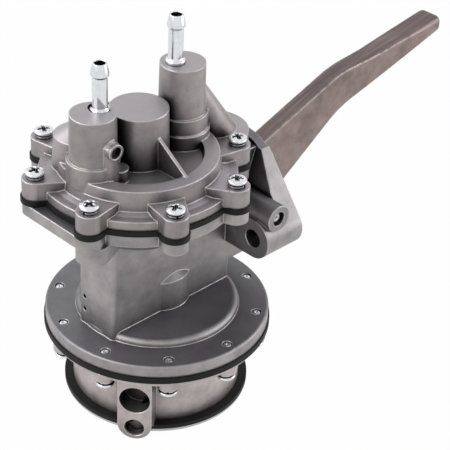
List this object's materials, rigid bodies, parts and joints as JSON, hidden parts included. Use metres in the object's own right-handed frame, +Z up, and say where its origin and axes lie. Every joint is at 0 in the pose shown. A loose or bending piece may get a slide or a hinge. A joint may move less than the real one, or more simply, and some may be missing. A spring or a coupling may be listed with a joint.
{
  "type": "mechanical fuel pump",
  "caption": "Mechanical fuel pump with a vacuum booster section: a rocker arm on a bolted flange pulls two stacked diaphragms, with hose barbs on top and ports below.",
  "frame": {"origin": "middle of the mounting face, halfway between the two bolt holes", "axes": "+X out of the mounting face towards the engine, +Z up, +Y completes a right-hand frame"},
  "size_m": [0.2861, 0.1216, 0.216],
  "materials": {
    "cast_housing": "satin die-cast aluminium, blue-grey",
    "cast_cover": "satin die-cast aluminium, light grey",
    "black_rubber": "cloth-filled black rubber",
    "seal_rubber": "oil-proof dark rubber",
    "bright_plate": "bright nickel plate on turned metal",
    "forged_steel": "forged steel with brown heat colour",
    "valve_brass": "pressed brass",
    "spring_steel": "bare spring wire",
    "zinc_steel": "bright zinc plate",
    "plain_steel": "plain ground steel"
  },
  "bodies": {
    "housing": {"base_gasket": "black_rubber", "base_plate": "plain_steel", "base_screws": "zinc_steel", "cover_lock_washers": "zinc_steel", "cover_screws": "zinc_steel", "fuel_cover": "cast_cover", "fuel_diaphragm": "black_rubber", "fuel_inlet_valve_cage": "valve_brass", "fuel_inlet_valve_seat": "valve_brass", "fuel_inlet_valve_spring": "spring_steel", "fuel_outlet_valve_cage": "valve_brass", "fuel_outlet_valve_seat": "valve_brass", "fuel_outlet_valve_spring": "spring_steel", "fuel_rod_seal": "seal_rubber", "fuel_seal_retainer": "plain_steel", "fuel_spring": "spring_steel", "inlet_barb": "bright_plate", "main_body": "cast_housing", "outlet_barb": "bright_plate", "pivot_pin": "plain_steel", "return_spring": "spring_steel", "vacuum_cover": "cast_cover", "vacuum_diaphragm": "black_rubber", "vacuum_inlet_valve_cage": "valve_brass", "vacuum_inlet_valve_seat": "valve_brass", "vacuum_inlet_valve_spring": "spring_steel", "vacuum_lock_washers": "zinc_steel", "vacuum_outlet_valve_cage": "valve_brass", "vacuum_outlet_valve_seat": "valve_brass", "vacuum_outlet_valve_spring": "spring_steel", "vacuum_rod_seal": "seal_rubber", "vacuum_screws": "zinc_steel", "vacuum_seal_retainer": "plain_steel", "vacuum_spring": "spring_steel"},
    "rocker": {"rocker_arm": "forged_steel", "fuel_link": "plain_steel", "vacuum_link": "plain_steel"},
    "fuel_pull": {"fuel_rod": "plain_steel", "fuel_lower_plate": "plain_steel", "fuel_upper_plate": "plain_steel", "fuel_rod_nut": "zinc_steel"},
    "vacuum_pull": {"vacuum_rod": "plain_steel", "vacuum_upper_plate": "plain_steel", "vacuum_lower_plate": "plain_steel", "vacuum_rod_nut": "zinc_steel"},
    "fuel_inlet_valve_poppet": {"fuel_inlet_valve_disc": "seal_rubber"},
    "fuel_outlet_valve_poppet": {"fuel_outlet_valve_disc": "seal_rubber"},
    "vacuum_inlet_valve_poppet": {"vacuum_inlet_valve_disc": "seal_rubber"},
    "vacuum_outlet_valve_poppet": {"vacuum_outlet_valve_disc": "seal_rubber"}
  },
  "joints": [
    {"name": "rocker_hinge", "type": "hinge", "parent": "housing", "child": "rocker", "pos_m": [-0.017, 0, 0.013], "axis": [0, -1, 0], "range_deg": [0, 6], "stiffness_Nm_per_rad": 1.2, "springref_deg": -14.32, "deforming": ["return_spring"]},
    {"name": "fuel_rod_slide", "type": "slide", "parent": "housing", "child": "fuel_pull", "axis": [0, 0, -1], "range_m": [0, 0.0064], "deforming": ["fuel_spring", "fuel_diaphragm"]},
    {"name": "vacuum_rod_slide", "type": "slide", "parent": "housing", "child": "vacuum_pull", "axis": [0, 0, -1], "range_m": [0, 0.0048], "deforming": ["vacuum_spring", "vacuum_diaphragm"]},
    {"name": "fuel_inlet_valve_lift", "type": "slide", "parent": "housing", "child": "fuel_inlet_valve_poppet", "axis": [0, 0, -1], "range_m": [0, 0.0012], "stiffness_N_per_m": 30, "springref_m": -0.002, "deforming": ["fuel_inlet_valve_spring"]},
    {"name": "fuel_outlet_valve_lift", "type": "slide", "parent": "housing", "child": "fuel_outlet_valve_poppet", "axis": [0, 0, 1], "range_m": [0, 0.0012], "stiffness_N_per_m": 30, "springref_m": -0.002, "deforming": ["fuel_outlet_valve_spring"]},
    {"name": "vacuum_inlet_valve_lift", "type": "slide", "parent": "housing", "child": "vacuum_inlet_valve_poppet", "axis": [0, 0, 1], "range_m": [0, 0.0012], "stiffness_N_per_m": 30, "springref_m": -0.002, "deforming": ["vacuum_inlet_valve_spring"]},
    {"name": "vacuum_outlet_valve_lift", "type": "slide", "parent": "housing", "child": "vacuum_outlet_valve_poppet", "axis": [0, 0, -1], "range_m": [0, 0.0012], "stiffness_N_per_m": 30, "springref_m": -0.002, "deforming": ["vacuum_outlet_valve_spring"]}
  ],
  "couplings": [
    {"joint": "fuel_rod_slide", "follows": "rocker_hinge", "m_per_rad": 0.0599},
    {"joint": "vacuum_rod_slide", "follows": "rocker_hinge", "m_per_rad": 0.045}
  ]
}
